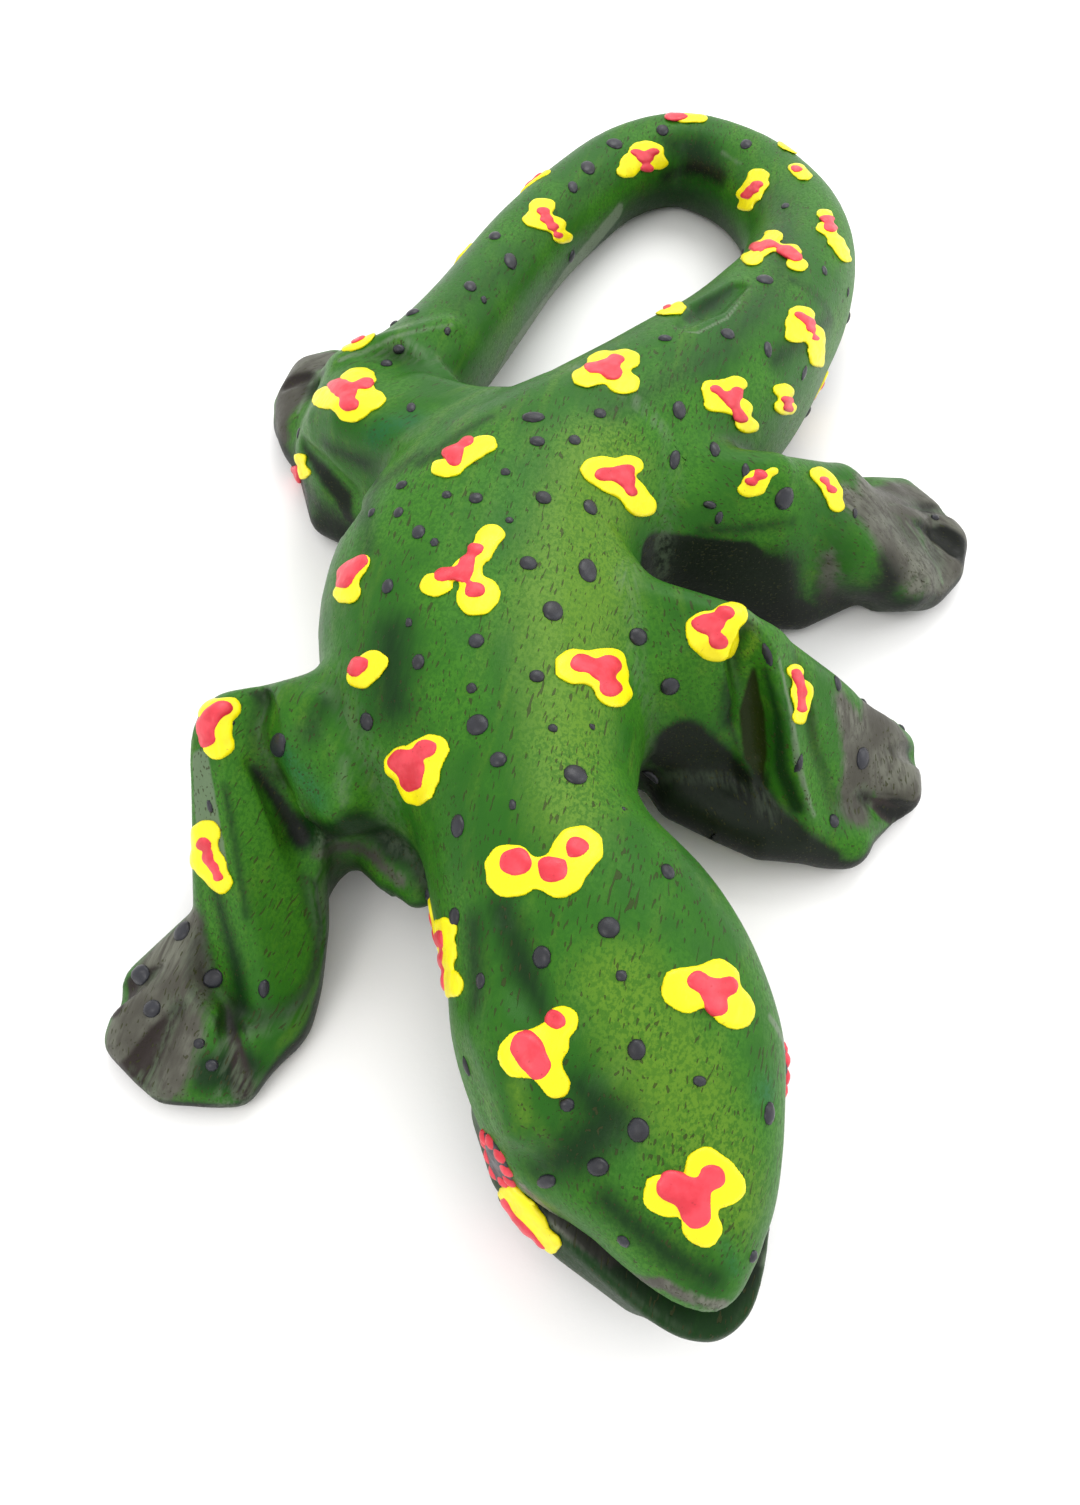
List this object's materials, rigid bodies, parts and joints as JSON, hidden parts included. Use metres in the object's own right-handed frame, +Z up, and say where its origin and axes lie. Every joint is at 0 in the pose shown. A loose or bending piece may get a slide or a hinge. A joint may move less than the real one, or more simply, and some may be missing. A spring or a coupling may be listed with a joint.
{
  "type": "carved lizard figure",
  "caption": "Carved and painted wooden lizard, pegged together from a body, looped tail and splayed legs, standing free as a table ornament.",
  "frame": {"origin": "on the table, under the middle of the whole figure", "axes": "+Z up from the table, -Y the way the head points, +X the lizard's own left"},
  "size_m": [0.1171, 0.2174, 0.0356],
  "materials": {
    "painted_wood": "green stain and paint over open-grained wood, under satin lacquer",
    "bare_wood": "bare sanded dowel",
    "yellow_paint": "thick yellow acrylic dabs, satin gloss",
    "red_paint": "thick red acrylic dabs, satin gloss",
    "black_paint": "raised black paint dots, glossy"
  },
  "bodies": {
    "root": {"body": "painted_wood", "tail": "painted_wood", "right_foreleg": "painted_wood", "left_foreleg": "painted_wood", "right_hind_leg": "painted_wood", "left_hind_leg": "painted_wood", "right_foreleg_peg": "bare_wood", "left_foreleg_peg": "bare_wood", "right_hind_leg_peg": "bare_wood", "left_hind_leg_peg": "bare_wood", "tail_peg": "bare_wood", "tail_tip_peg": "bare_wood"}
  },
  "joints": []
}
